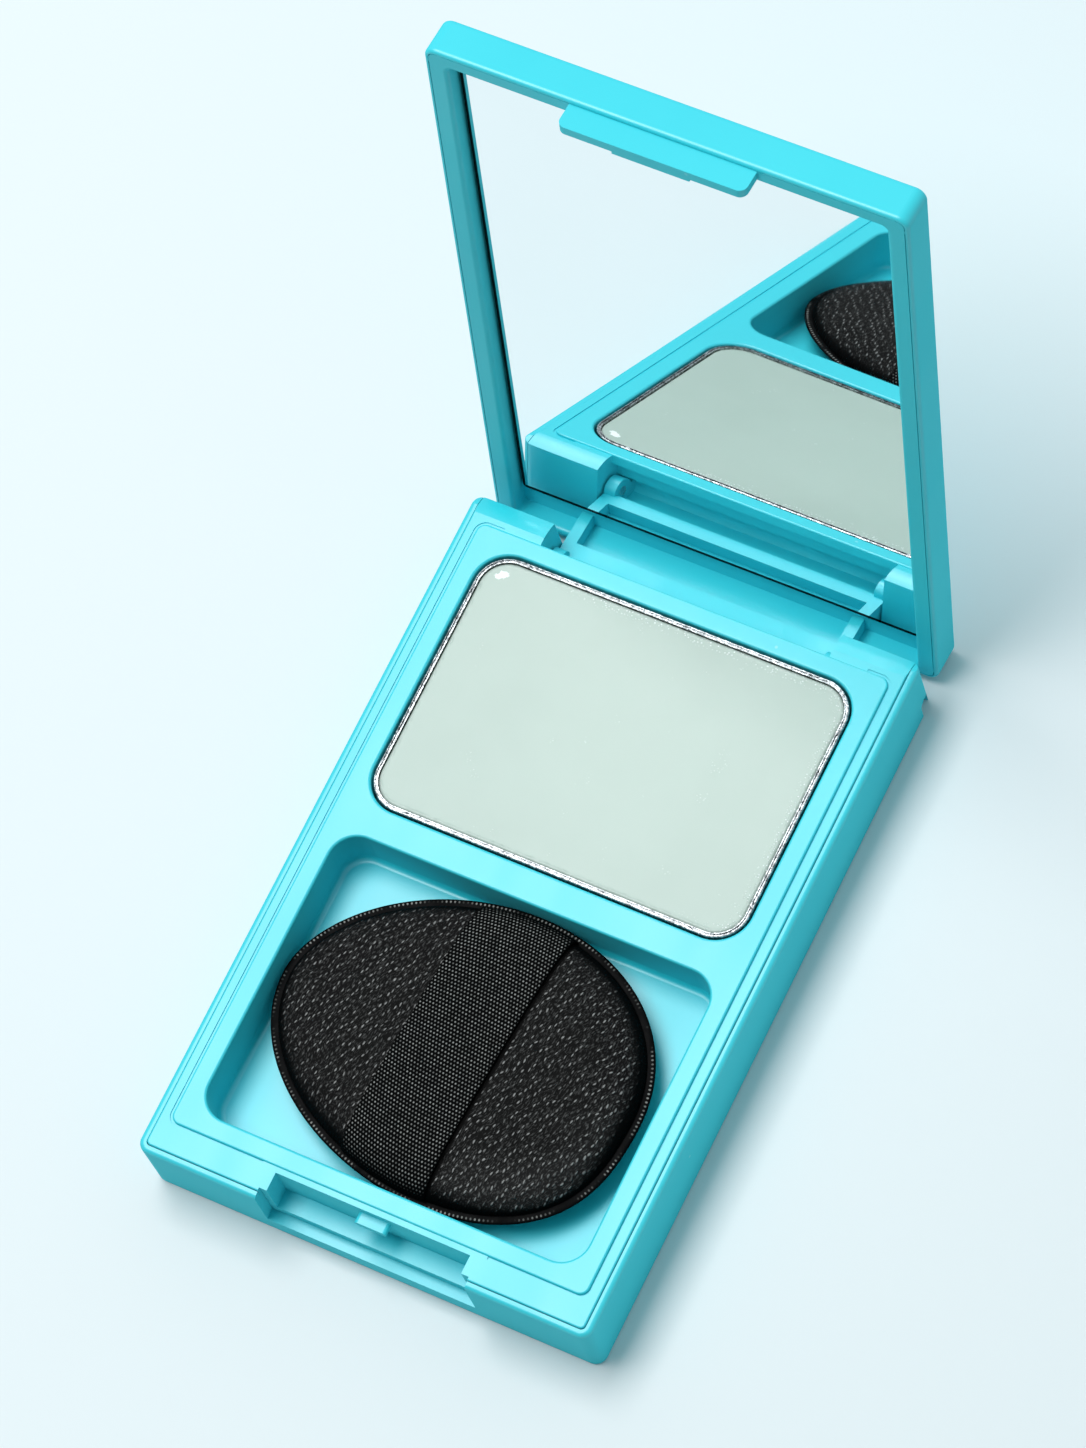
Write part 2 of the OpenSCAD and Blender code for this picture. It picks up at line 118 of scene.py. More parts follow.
# The ticks of its leather: their size and lean, and the slant and closeness of their rows
TICK_PITCH = 0.74 * MM
TICK_ROWS = math.radians(57)
ROW_PRESS = 0.70
TICK_LEAN = math.radians(11)
TICK_W = 0.110 * MM
TICK_L = 0.30 * MM


# ---------------------------------------------------------------- meshes

def mesh_object(name, verts, faces):
    """A smooth mesh object at the origin, from its points and from the numbers of the points of
    each face."""
    mesh = bpy.data.meshes.new(name)
    mesh.from_pydata(np.asarray(verts).tolist(), [], [list(face) for face in faces])
    mesh.polygons.foreach_set("use_smooth", np.full(len(mesh.polygons), True))
    mesh.update()
    obj = bpy.data.objects.new(name, mesh)
    bpy.context.scene.collection.objects.link(obj)
    return obj


def grid_faces(rows, columns, wrap_rows=False, wrap_columns=False):
    """Quads of a grid of rows x columns points, as an array of index rows. A wrapped direction
    joins its last line of points to its first."""
    r = np.arange(rows if wrap_rows else rows - 1)
    c = np.arange(columns if wrap_columns else columns - 1)
    r, c = (a.ravel() for a in np.meshgrid(r, c, indexing="ij"))
    r2, c2 = (r + 1) % rows, (c + 1) % columns
    return np.stack([r * columns + c, r * columns + c2, r2 * columns + c2, r2 * columns + c], 1)


def ring_surface(name, rings, first_pole, last_pole):
    """A surface through rings of equal numbers of points (an array rings x spokes x 3), each
    anticlockwise as the surface is seen from the side that it faces, closed at both ends by a fan
    of triangles to a pole point."""
    count, spokes = rings.shape[:2]
    j = np.arange(spokes)
    k = (j + 1) % spokes
    first = np.full(spokes, count * spokes)
    faces = grid_faces(count, spokes, wrap_columns=True).tolist()
    faces += np.stack([k, j, first], 1).tolist()
    end = (count - 1) * spokes
    faces += np.stack([end + j, end + k, first + 1], 1).tolist()
    return mesh_object(name, np.vstack([rings.reshape(-1, 3), [first_pole], [last_pole]]), faces)


def smooth_noise(x, y, seed):
    """A soft random field, mostly between -1 and 1: a sum of sine waves of random direction and
    phase, with x and y in wavelengths."""
    waves = 7
    rng = np.random.default_rng(seed)
    angle = rng.uniform(0, 2 * math.pi, waves)
    phase = rng.uniform(0, 2 * math.pi, waves)
    size = rng.uniform(0.6, 1.7, waves)
    total = 0
    for a, p, s in zip(angle, phase, size):
        total = total + np.sin(2 * math.pi * s * (x * math.cos(a) + y * math.sin(a)) + p)
    return total / math.sqrt(waves)


# ---------------------------------------------------------------- shader building

class Nodes:
    """Short names for building one node tree."""

    def __init__(self, tree):
        self.tree = tree

    def add(self, kind, values=None, **settings):
        """A node of this kind. settings are its own fields; values sets inputs by name or number:
        a socket is linked, anything else becomes the default."""
        node = self.tree.nodes.new(kind)
        for field, value in settings.items():
            setattr(node, field, value)
        for key, value in (values or {}).items():
            self.put(node.inputs[key], value)
        return node

    def put(self, socket, value):
        """Links a socket to this input, or sets the input to a value."""
        if isinstance(value, bpy.types.NodeSocket):
            self.tree.links.new(value, socket)
        else:
            socket.default_value = value

    def math(self, operation, a, b=0.0):
        """One sum on a number or two."""
        return self.add("ShaderNodeMath", {0: a, 1: b}, operation=operation).outputs[0]

    def vector(self, operation, a, b=(0, 0, 0)):
        """One sum on a vector or two. A length or a dot product is a number."""
        node = self.add("ShaderNodeVectorMath", {0: a, 1: b}, operation=operation)
        return node.outputs["Value" if operation in ("DOT_PRODUCT", "LENGTH") else "Vector"]

    def split(self, vector):
        """The three parts of a vector."""
        return self.add("ShaderNodeSeparateXYZ", {0: vector}).outputs

    def joined(self, x, y, z=0.0):
        """A vector of three parts."""
        return self.add("ShaderNodeCombineXYZ", {0: x, 1: y, 2: z}).outputs[0]

    def facing(self):
        """The surface's own normal, in object space."""
        return self.add("ShaderNodeTexCoord").outputs["Normal"]

    def ramp(self, value, low, high, to_low=0.0, to_high=1.0, smooth=True):
        """value taken from low..high to to_low..to_high and held there at both ends, in a smooth
        step or along a straight line."""
        node = self.add("ShaderNodeMapRange", {"Value": value, "From Min": low, "From Max": high,
                                               "To Min": to_low, "To Max": to_high},
                        interpolation_type="SMOOTHSTEP" if smooth else "LINEAR")
        return node.outputs[0]

    def blend(self, factor, a, b):
        """Colour a where the factor is 0, and b where it is 1."""
        node = self.add("ShaderNodeMix", data_type="RGBA")
        self.put(node.inputs["Factor"], factor)
        self.put(node.inputs[6], a)
        self.put(node.inputs[7], b)
        return node.outputs[2]

    def noise(self, vector, scale, detail=2.0, rough=0.5):
        """Cloudy noise between 0 and 1, with scale in waves to the metre."""
        node = self.add("ShaderNodeTexNoise", {"Vector": vector, "Scale": scale,
                                               "Detail": detail, "Roughness": rough})
        return node.outputs["Fac"]

    def mapped(self, vector, scale=(1, 1, 1), turn=0.0):
        """The vector scaled and then turned about Z."""
        node = self.add("ShaderNodeMapping", {"Vector": vector, "Scale": scale,
                                              "Rotation": (0, 0, turn)})
        return node.outputs[0]


def new_group(name, inputs, outputs):
    """A shader node group with a Vector and these numbers as inputs, and these as outputs."""
    tree = bpy.data.node_groups.new(name, "ShaderNodeTree")
    tree.interface.new_socket("Vector", in_out="INPUT", socket_type="NodeSocketVector")
    for sockets, side in ((inputs, "INPUT"), (outputs, "OUTPUT")):
        for socket in sockets:
            tree.interface.new_socket(socket, in_out=side, socket_type="NodeSocketFloat")
    n = Nodes(tree)
    return n, n.add("NodeGroupInput").outputs, n.add("NodeGroupOutput").inputs


def placed(n, group, **values):
    """The outputs of a node group placed in a material with these values."""
    node = n.add("ShaderNodeGroup", node_tree=group)
    for key, value in values.items():
        n.put(node.inputs[key], value)
    return node.outputs


def make_moulded_group():
    """Moulded surface: a slow change of tone and gloss over waves of this Size, and a fine skin
    of this Grain, both in metres."""
    n, given, out = new_group("moulded surface", ["Size", "Grain"], ["Tone", "Gloss", "Height"])
    slow = n.noise(given["Vector"], n.math("DIVIDE", 1.0, given["Size"]), 3.0, 0.5)
    flow = n.noise(n.mapped(given["Vector"], (1, 0.25, 1)),
                   n.math("DIVIDE", 2.6, given["Size"]), 2.0, 0.5)
    grain = n.noise(given["Vector"], n.math("DIVIDE", 1.0, given["Grain"]), 2.0, 0.6)
    n.put(out["Tone"], n.ramp(slow, 0.3, 0.7))
    n.put(out["Gloss"], n.ramp(flow, 0.3, 0.75))
    n.put(out["Height"], grain)
    return n.tree


def make_dust_group():
    """Sparse specks of dust and lint: small bright cells of a Voronoi pattern, kept where a
    slower noise lets them show. Spacing is the distance between specks, in metres."""
    n, given, out = new_group("dust", ["Spacing", "Amount"], ["Mask"])
    cells = n.add("ShaderNodeTexVoronoi",
                  {"Vector": given["Vector"], "Scale": n.math("DIVIDE", 1.0, given["Spacing"])})
    speck = n.ramp(cells.outputs["Distance"], 0.045, 0.02)
    patch = n.ramp(n.noise(given["Vector"], 90.0), 0.5, 0.62)
    n.put(out["Mask"], n.math("MULTIPLY", n.math("MULTIPLY", speck, patch), given["Amount"]))
    return n.tree


def make_weave_group():
    """Woven beads: round bumps a Pitch apart in rows a Row apart, every other row shifted by half
    a pitch. Vector is the place on the cloth. All are in metres."""
    n, given, out = new_group("beaded rows", ["Pitch", "Row"], ["Height", "Bead", "Random"])
    across, along, _ = n.split(given["Vector"])
    v = n.math("DIVIDE", along, given["Row"])
    row = n.math("FLOOR", v)
    shift = n.math("MULTIPLY", n.math("MODULO", n.math("ABSOLUTE", row), 2.0), 0.5)
    u = n.math("ADD", n.math("DIVIDE", across, given["Pitch"]), shift)
    fu = n.math("SUBTRACT", n.math("FRACT", u), 0.5)
    fv = n.math("SUBTRACT", n.math("FRACT", v), 0.5)
    away = n.vector("LENGTH", n.joined(fu, fv))
    seed = n.joined(n.math("FLOOR", u), row)
    chance = n.add("ShaderNodeTexWhiteNoise", {"Vector": seed}).outputs["Value"]
    n.put(out["Height"], n.ramp(away, 0.52, 0.1))
    n.put(out["Bead"], n.ramp(away, 0.34, 0.12))
    n.put(out["Random"], chance)
    return n.tree


MOULDED = make_moulded_group()
DUST = make_dust_group()
WEAVE = make_weave_group()


def new_material(name):
    """An empty node material: its Nodes helper, its Principled BSDF and its object coordinates."""
    material = bpy.data.materials.new(name)
    material.use_nodes = True
    n = Nodes(material.node_tree)
    shader = n.tree.nodes["Principled BSDF"]
    where = n.add("ShaderNodeTexCoord").outputs["Object"]
    return material, n, shader, where


def bump(n, height, distance, strength=1.0):
    """The normal of a surface raised by a height of 0 to 1 over this distance, in metres."""
    values = {"Height": height, "Distance": distance, "Strength": strength}
    return n.add("ShaderNodeBump", values).outputs[0]


# ---------------------------------------------------------------- materials

def case_plastic():
    """Glossy moulded turquoise plastic, with faint flow marks and a few specks. Its skin is
    duller at a grazing angle, so that upright faces keep their colour."""
    material, n, shader, where = new_material("turquoise gloss plastic")
    skin = placed(n, MOULDED, Vector=where, Size=30 * MM, Grain=0.35 * MM)
    dust = placed(n, DUST, Vector=where, Spacing=6 * MM, Amount=0.35)["Mask"]
    tone = n.blend(skin["Tone"], (0.024, 0.590, 0.690, 1), (0.028, 0.620, 0.712, 1))
    n.put(shader.inputs["Base Color"], n.blend(dust, tone, (0.6, 0.85, 0.9, 1)))
    gloss = n.ramp(skin["Gloss"], 0, 1, 0.33, 0.39)
    grazing = n.add("ShaderNodeLayerWeight", {"Blend": 0.5}).outputs["Facing"]
    n.put(shader.inputs["Roughness"],
          n.math("ADD", gloss, n.ramp(grazing, 0.30, 0.75, 0.0, 0.50)))
    n.put(shader.inputs["Normal"], bump(n, skin["Height"], 0.004 * MM))
    shader.inputs["Specular IOR Level"].default_value = 0.72
    return material


def pan_metal():
    """Thin pressed aluminium, crinkled into small facets where its rim was rolled; the facets'
    bright and dark is also put into its colour as painted reflections."""
    material, n, shader, where = new_material("pressed aluminium")
    crinkle = n.noise(where, 2100.0, 3.0, 0.6)
    streak = n.noise(where, 620.0, 3.0, 0.6)
    painted_facets = n.math("ADD", n.math("MULTIPLY", crinkle, 0.65), n.math("MULTIPLY", streak, 0.35))
    # Painted reflections: bright and dark facets in the metal's colour.
    n.put(shader.inputs["Base Color"],
          n.blend(n.ramp(painted_facets, 0.36, 0.64), (0.11, 0.118, 0.122, 1), (0.50, 0.52, 0.535, 1)))
    n.put(shader.inputs["Roughness"], n.ramp(crinkle, 0.3, 0.7, 0.14, 0.32))
    n.put(shader.inputs["Normal"], bump(n, crinkle, 0.16 * MM, 0.6))
    shader.inputs["Metallic"].default_value = 1.0
    return material


def rim_distance(n, where, lo, hi, radius):
    """Distance in from the outline of a box with rounded plan corners, at a place on its top."""
    middle = ((lo.x + hi.x) / 2, (lo.y + hi.y) / 2, 0)
    straight = ((hi.x - lo.x) / 2 - radius, (hi.y - lo.y) / 2 - radius, 0)
    level = n.vector("MULTIPLY", where, (1, 1, 0))
    away = n.vector("SUBTRACT", n.vector("ABSOLUTE", n.vector("SUBTRACT", level, middle)),
                    straight)
    corner = n.vector("LENGTH", n.vector("MAXIMUM", away, (0, 0, 0)))
    past_x, past_y, _ = n.split(away)
    side = n.math("MINIMUM", n.math("MAXIMUM", past_x, past_y), 0.0)
    return n.math("SUBTRACT", radius, n.math("ADD", corner, side))


def spot(n, where, centre, half_l, half_w, turn, ragged):
    """Mask of an oval spot with a ragged edge, from its centre, half sizes and turn in plan."""
    local = n.vector("SUBTRACT", n.vector("MULTIPLY", where, (1, 1, 0)), centre)
    flat = n.mapped(local, (1, 1, 0), -turn)
    scaled = n.vector("MULTIPLY", flat, (1 / half_l, 1 / half_w, 0))
    wobble = n.ramp(ragged, 0.2, 0.8, -0.5, 0.5, smooth=False)
    return n.ramp(n.math("ADD", n.vector("LENGTH", scaled), wobble), 1.0, 0.7)


def balm_marks(n, where):
    """Masks of the balm's marks: where it creeps up its rim, the tiny bubbles along its rear
    right edge, and a painted highlight in its rear left corner."""
    ragged = n.noise(where, 1300.0, 3.0, 0.6)
    inward = rim_distance(n, where, BALM_LO, BALM_HI, BALM_R)
    wobbly = n.math("ADD", inward, n.math("MULTIPLY", ragged, 0.5 * MM))
    creep = n.ramp(wobbly, 0.9 * MM, 0.3 * MM)
    x, y, _ = n.split(where)
    froth_band = n.math("MULTIPLY", n.ramp(inward, 1.6 * MM, 0.7 * MM),
                        n.ramp(n.math("ADD", x, y), 20 * MM, 30 * MM))
    bubbles = n.add("ShaderNodeTexVoronoi", {"Vector": where, "Scale": 2600.0})
    stray = n.ramp(n.noise(where, 260.0, 2.0), 0.66, 0.72)
    dot = n.math("MULTIPLY", n.ramp(bubbles.outputs["Distance"], 0.34, 0.22),
                 n.math("MAXIMUM", froth_band, n.math("MULTIPLY", stray, 0.4)))
    # Painted highlight: a pale spot in the rear left corner (the mask called smear).
    painted_highlight_at = (BALM_LO.x + 2.3 * MM, BALM_HI.y - 2.0 * MM, 0)
    smear = spot(n, where, painted_highlight_at, 0.9 * MM, 0.6 * MM, math.radians(35), ragged)
    return creep, dot, smear


def balm_wax():
    """Pale grey-green translucent balm with a wet gloss, a cloudy body and its marks, one of them
    a painted highlight.
    """
    material, n, shader, where = new_material("translucent balm")
    cloud = placed(n, MOULDED, Vector=where, Size=20 * MM, Grain=0.8 * MM)
    creep, dot, smear = balm_marks(n, where)
    tone = n.blend(cloud["Tone"], (0.425, 0.512, 0.455, 1), (0.452, 0.540, 0.482, 1))
    # Darker tone along the rim.
    tone = n.blend(n.math("MULTIPLY", creep, 0.45), tone, (0.40, 0.47, 0.42, 1))
    # Pale where the painted highlight and the bubbles are.
    painted_highlight_and_bubbles = n.math("MAXIMUM", smear, n.math("MULTIPLY", dot, 0.55))
    n.put(shader.inputs["Base Color"], n.blend(painted_highlight_and_bubbles, tone, (0.93, 0.97, 0.95, 1)))
    n.put(shader.inputs["Roughness"], n.ramp(cloud["Gloss"], 0, 1, 0.288, 0.294))
    raised = n.math("ADD", n.math("MULTIPLY", creep, 3.0), n.math("ADD", dot, smear))
    height = n.math("ADD", n.math("MULTIPLY", cloud["Height"], 0.15), raised)
    n.put(shader.inputs["Normal"], bump(n, height, 0.03 * MM))
    shader.inputs["Subsurface Weight"].default_value = 0.35
    shader.inputs["Subsurface Radius"].default_value = (0.8, 1.0, 0.9)
    shader.inputs["Subsurface Scale"].default_value = 2 * MM
    shader.inputs["IOR"].default_value = 1.45
    return material


def mirror_face():
    """Silvered glass: a clear reflection that leans a little, as a thin bowed mirror's does, and a
    black line painted along its foot and its left edge as the shadow beside the frame there."""
    material, n, shader, where = new_material("silvered glass")
    smear = placed(n, MOULDED, Vector=where, Size=30 * MM, Grain=2 * MM)
    flat = n.facing()
    face = n.ramp(n.vector("DOT_PRODUCT", flat, OUT_OF_MIRROR), 0.9, 0.95)
    low = n.math("SUBTRACT", n.vector("DOT_PRODUCT", where, UP_MIRROR), MIRROR_FOOT)
    left = n.math("SUBTRACT", n.split(where)[0], MIRROR_LEFT)
    inward = n.math("MINIMUM", low, n.math("MULTIPLY", left, 1.4))
    # Painted shadow: black along the mirror's foot and left edge, where the frame shades the slot
    # beside the glass.
    line = n.ramp(inward, 0.56 * MM, 0.48 * MM)
    silver = n.blend(smear["Tone"], (0.90, 0.945, 0.955, 1), (0.915, 0.955, 0.965, 1))
    n.put(shader.inputs["Base Color"], n.blend(line, silver, (0.004, 0.004, 0.005, 1)))
    n.put(shader.inputs["Roughness"], n.ramp(smear["Gloss"], 0, 1, 0.012, 0.022))
    lean = n.vector("MULTIPLY", n.joined(face, face, face), MIRROR_LEAN)
    turned = n.vector("NORMALIZE", n.vector("ADD", flat, lean))
    world = n.add("ShaderNodeVectorTransform", {"Vector": turned}, vector_type="NORMAL",
                  convert_from="OBJECT", convert_to="WORLD")
    n.put(shader.inputs["Normal"], world.outputs[0])
    shader.inputs["Metallic"].default_value = 1.0
    return material


def dark_backing():
    """Dark protective paint behind the silver."""
    material, n, shader, where = new_material("mirror back paint")
    skin = placed(n, MOULDED, Vector=where, Size=10 * MM, Grain=0.3 * MM)
    n.put(shader.inputs["Base Color"],
          n.blend(skin["Tone"], (0.012, 0.014, 0.016, 1), (0.022, 0.024, 0.027, 1)))
    n.put(shader.inputs["Normal"], bump(n, skin["Height"], 0.01 * MM))
    shader.inputs["Roughness"].default_value = 0.6
    return material


def adhesive_film():
    """Milky double-sided tape."""
    material, n, shader, where = new_material("adhesive film")
    skin = placed(n, MOULDED, Vector=where, Size=8 * MM, Grain=0.4 * MM)
    n.put(shader.inputs["Base Color"],
          n.blend(skin["Tone"], (0.62, 0.60, 0.53, 1), (0.72, 0.70, 0.63, 1)))
    n.put(shader.inputs["Roughness"], n.ramp(skin["Gloss"], 0, 1, 0.4, 0.55))
    n.put(shader.inputs["Normal"], bump(n, skin["Height"], 0.03 * MM))
    return material


def pin_metal():
    """Drawn steel wire with fine lines along it."""
    material, n, shader, where = new_material("drawn steel")
    lines = n.noise(n.mapped(where, (0.05, 1, 1)), 9000.0, 2.0, 0.6)
    n.put(shader.inputs["Base Color"],
          n.blend(lines, (0.52, 0.53, 0.55, 1), (0.66, 0.67, 0.69, 1)))
    n.put(shader.inputs["Roughness"], n.ramp(lines, 0.3, 0.7, 0.22, 0.4))
    n.put(shader.inputs["Normal"], bump(n, lines, 0.006 * MM))
    shader.inputs["Metallic"].default_value = 1.0
    return material


def on_the_puff(n, where):
    """The place in the puff's own plan: from its middle, with X along the puff."""
    return n.mapped(n.vector("SUBTRACT", where, tuple(PUFF_AT)), turn=-PUFF_TURN)


def leather_ticks(n, where):
    """The leather's short ticks, which lean from the ribbon's run in slanting rows: how far out of
    its own tick a place lies, from 0 at its middle to 1 at its edge, and the tick's own chance."""
    rows = n.vector("MULTIPLY", n.mapped(where, (1, 1, 0), -TICK_ROWS), (1, ROW_PRESS, 0))
    cells = n.add("ShaderNodeTexVoronoi", {"Vector": rows, "Scale": 1 / TICK_PITCH,
                                           "Randomness": 0.47}, voronoi_dimensions="2D")
    offset = n.vector("SUBTRACT", rows, cells.outputs["Position"])
    upright = n.mapped(offset, (1, 1 / ROW_PRESS, 0), TICK_ROWS + TICK_LEAN)
    reach = n.vector("LENGTH", n.vector("MULTIPLY", upright, (1 / TICK_W, 1 / TICK_L, 0)))
    return reach, n.split(cells.outputs["Color"])[0]


def painted_leather_light(n, where):
    """Painted light on the leather: how much of it is turned up to the light, less a painted
    shadow beside the ribbon's right edge, and how much painted highlight its near right shoulder
    takes."""
    facing = n.facing()
    # Painted highlight where the cover faces up and to the near right.
    sheen = n.ramp(n.vector("DOT_PRODUCT", facing, (0.40, -0.42, 0.81)), 0.84, 0.99)
    # Painted shade down the steep sides, where the cover turns away from up.
    painted_top_light = n.math("MAXIMUM", n.ramp(n.split(facing)[2], 0.66, 0.93),
                    n.math("MULTIPLY", sheen, 0.8))
    # Painted shadow beside the ribbon's right edge.
    beside = n.math("SUBTRACT", n.split(where)[0], RIBBON_W / 2)
    painted_ribbon_shadow = n.ramp(n.math("ABSOLUTE", n.math("SUBTRACT", beside, 0.1 * MM)), 0.50 * MM, 0.24 * MM)
    return n.math("MULTIPLY", painted_top_light, n.math("SUBTRACT", 1.0, painted_ribbon_shadow)), sheen


def pebbled_leather():
    """Black coated leather, embossed with rows of short ticks over finer strokes. The ticks carry
    painted highlights in the base colour; painted shade darkens it down the steep sides and
    beside the ribbon's right edge, and a painted highlight brightens its near right shoulder."""
    material, n, shader, where = new_material("black pebbled leather")
    place = on_the_puff(n, where)
    warp = n.noise(place, 380.0, 2.0)
    wander = n.vector("ADD", place, n.joined(n.math("MULTIPLY", warp, 0.9 * MM),
                                             n.math("MULTIPLY", warp, -0.6 * MM)))
    reach, chance = leather_ticks(n, wander)
    # clear is the share of painted light, sheen the painted highlight on the near right shoulder.
    clear, sheen = painted_leather_light(n, place)
    leaning = n.mapped(wander, turn=TICK_LEAN)
    stroke = n.noise(n.mapped(leaning, (1, 0.30, 1)), 6400.0, 2.0, 0.55)
    # Painted highlights on the ticks, as bright spots in the base colour.
    painted_glint = n.math("MULTIPLY", n.ramp(reach, 1.15, 0.35),
                   n.ramp(chance, 0.0, 0.9, 0.12, 1.0, smooth=False))
    fine = n.math("MULTIPLY", n.ramp(stroke, 0.48, 0.70), 0.16)
    # Bright marks dimmed by the painted shade.
    shine = n.math("MULTIPLY", n.math("MAXIMUM", painted_glint, fine), clear)
    # Painted highlight: the marks brighter on the near right shoulder.
    painted_shoulder_lift = n.math("MULTIPLY", n.ramp(sheen, 0, 1, 1.0, 1.6, smooth=False), shine)
    # Painted light in the dark tone: darker down the sides and beside the ribbon, paler on the
    # shoulder.
    painted_ground_light = n.math("MULTIPLY", clear, n.ramp(sheen, 0, 1, 0.28, 1.0, smooth=False))
    under = n.blend(painted_ground_light, (0.0012, 0.0011, 0.0011, 1), (0.0160, 0.0150, 0.0148, 1))
    n.put(shader.inputs["Base Color"], n.blend(painted_shoulder_lift, under, (0.270, 0.258, 0.252, 1)))
    n.put(shader.inputs["Roughness"], n.ramp(shine, 0, 1, 0.6, 0.38))
    height = n.math("ADD", n.ramp(reach, 2.1, 0.2), n.math("MULTIPLY", stroke, 0.6))
    n.put(shader.inputs["Normal"], bump(n, height, 0.10 * MM, 0.9))
    shader.inputs["Specular IOR Level"].default_value = 0.03
    return material


def welt_leather():
    """The same coated cloth pressed thin at the welded edge, with a line of small bright dots just
    inside its outer edge: painted highlights, standing for glints along the weld."""
    material, n, shader, where = new_material("black welt")
    skin = placed(n, MOULDED, Vector=where, Size=4 * MM, Grain=0.6 * MM)
    along, round_section, _ = n.split(n.add("ShaderNodeUVMap", uv_map="seam").outputs[0])
    step = n.math("SUBTRACT", n.math("FRACT", n.math("DIVIDE", along, WELT_DOT_PITCH)), 0.5)
    away = n.vector("LENGTH", n.joined(n.math("MULTIPLY", step, WELT_DOT_PITCH),
                                       n.math("SUBTRACT", round_section, WELT_LINE_V)))
    patch = n.ramp(n.noise(where, 330.0, 2.0), 0.36, 0.62)
    # Painted highlights: bright dots in the base colour along the weld line.
    dots = n.math("MULTIPLY", n.ramp(away, 0.15 * MM, 0.07 * MM), patch)
    tone = n.blend(skin["Tone"], (0.0010, 0.0010, 0.0011, 1), (0.0025, 0.0025, 0.0027, 1))
    n.put(shader.inputs["Base Color"], n.blend(dots, tone, (0.25, 0.24, 0.225, 1)))
    n.put(shader.inputs["Roughness"], n.ramp(skin["Gloss"], 0, 1, 0.42, 0.55))
    n.put(shader.inputs["Normal"], bump(n, skin["Height"], 0.06 * MM))
    shader.inputs["Specular IOR Level"].default_value = 0.03
    return material


def flocked_cloth():
    """Soft black flock on the underside of the puff."""
    material, n, shader, where = new_material("black flock")
    fibre = n.noise(where, 5200.0, 3.0, 0.7)
    n.put(shader.inputs["Base Color"],
          n.blend(fibre, (0.008, 0.008, 0.009, 1), (0.035, 0.035, 0.038, 1)))
    n.put(shader.inputs["Normal"], bump(n, fibre, 0.2 * MM))
    shader.inputs["Roughness"].default_value = 0.92
    shader.inputs["Sheen Weight"].default_value = 0.3
    return material


def ribbon_weave():
    """Black ribbed ribbon: rows of small bright beads across its width, painted highlights in the
    base colour, darkened by painted shade where it runs down the puff's steep sides."""
    material, n, shader, where = new_material("black ribbed ribbon")
    cloth = n.add("ShaderNodeUVMap", uv_map="cloth").outputs[0]
    beads = placed(n, WEAVE, Vector=cloth, Pitch=BEAD_PITCH, Row=BEAD_ROW)
    # Painted light on the beads: random brightness, with painted shade where the cloth turns away
    # from up.
    painted_bead_light = n.math("MULTIPLY", n.ramp(beads["Random"], 0.0, 1.0, 0.35, 1.0, smooth=False),
                 n.ramp(n.split(n.facing())[2], 0.45, 0.95))
    # bright is the painted highlight of each bead.
    bright = n.math("MULTIPLY", beads["Bead"], painted_bead_light)
    n.put(shader.inputs["Base Color"],
          n.blend(bright, (0.0012, 0.0012, 0.0013, 1), (0.290, 0.285, 0.272, 1)))
    n.put(shader.inputs["Roughness"], n.ramp(bright, 0, 1, 0.7, 0.5))
    shader.inputs["Specular IOR Level"].default_value = 0.02
    n.put(shader.inputs["Normal"], bump(n, beads["Height"], 0.12 * MM, 0.9))
    return material


def floor_surface():
    """Matt pale studio floor."""
    material, n, shader, where = new_material("studio floor")
    soft = n.noise(where, 4.0, 2.0)
    n.put(shader.inputs["Base Color"],
          n.blend(soft, (0.790, 0.812, 0.826, 1), (0.802, 0.819, 0.831, 1)))
    shader.inputs["Roughness"].default_value = 0.9
    shader.inputs["Specular IOR Level"].default_value = 0.1
    return material


# ---------------------------------------------------------------- puff

def tear(t, fullness):
    """Half width of a teardrop whose tip is at t = 0 and its round end at t = pi, not to scale."""
    return np.abs(np.sin(t)) ** fullness * np.abs(np.sin(t / 2)) ** TIP_POWER


def half_width(t, fullness):
    """Half width of the teardrop, scaled to the puff's."""
    widest = tear(np.linspace(0, math.pi, 721), fullness).max()
    return PUFF_W / 2 * tear(t, fullness) / widest


def outline(t):
    """Teardrop in plan, from its tip at t = 0 and once round: along X it runs as -cos t, with the
    half width of FULLNESS_FRONT on the near side and of FULLNESS_REAR on the far one."""
    folded = np.where(t <= math.pi, t, 2 * math.pi - t)
    y = np.where(t <= math.pi, -half_width(folded, FULLNESS_FRONT),
                 half_width(folded, FULLNESS_REAR))
    return np.stack([-PUFF_L / 2 * np.cos(folded), y], 1)


def puff_plan(spokes):
    """The outline's points, spaced evenly along it, and its outward normals."""
    t = np.linspace(0, 2 * math.pi, 2881)
    dense = outline(t)
    run = np.r_[0, np.cumsum(np.hypot(*np.diff(dense, axis=0).T))]
    even = np.linspace(0, run[-1], spokes + 1)[:-1]
    points = np.stack([np.interp(even, run, dense[:, k]) for k in (0, 1)], 1)
    along = np.roll(points, -1, 0) - np.roll(points, 1, 0)
    normals = np.stack([along[:, 1], -along[:, 0]], 1)
    normals /= np.hypot(*normals.T)[:, None]
    return points, normals


def laid(x, y, z):
    """Points of the puff's own plan at their heights, turned and set down in the well."""
    cos, sin = math.cos(PUFF_TURN), math.sin(PUFF_TURN)
    return np.stack([PUFF_AT.x + cos * x - sin * y, PUFF_AT.y + sin * x + cos * y, z], -1)


def inner_plan(spokes):
    """The line on the plan where the covers meet the welt."""
    points, normals = puff_plan(spokes)
    return points - normals * WELT_IN


INNER = inner_plan(SPOKES)


def drawn_in(shares):
    """The inner plan drawn in to shares of its size about MIDDLE: an array shares x spokes x 2."""
    return MIDDLE + (INNER[None] - MIDDLE) * np.asarray(shares)[:, None, None]


